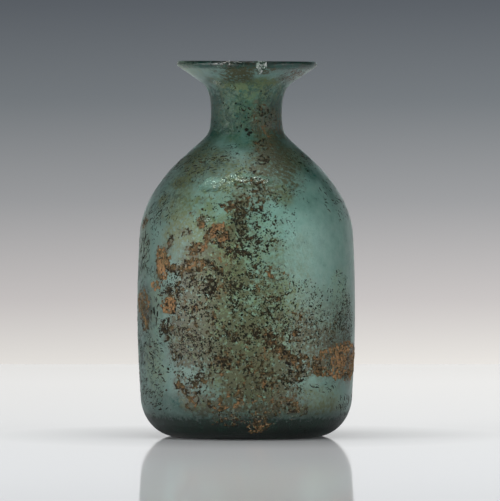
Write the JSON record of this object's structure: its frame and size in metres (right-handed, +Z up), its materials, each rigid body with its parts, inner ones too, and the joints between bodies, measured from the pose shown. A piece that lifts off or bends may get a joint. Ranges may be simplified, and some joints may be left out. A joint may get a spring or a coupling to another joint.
{
  "type": "glass apothecary bottle",
  "caption": "Ancient free-blown blue-green glass bottle with a cylindrical body, rounded shoulder, short neck and flared, chipped rim.",
  "frame": {"origin": "middle of the underside, level with the flat ring that the bottle stands on", "axes": "+Z up along the axis of the body, from the underside to the mouth; -Y is the side with the flake lost from the lip"},
  "size_m": [0.0696, 0.0696, 0.1201],
  "materials": {
    "weathered_glass": "satin",
    "burial_crust": "matte",
    "pit_dirt": "matte"
  },
  "bodies": {
    "root": {"bottle": "weathered_glass"}
  },
  "joints": []
}
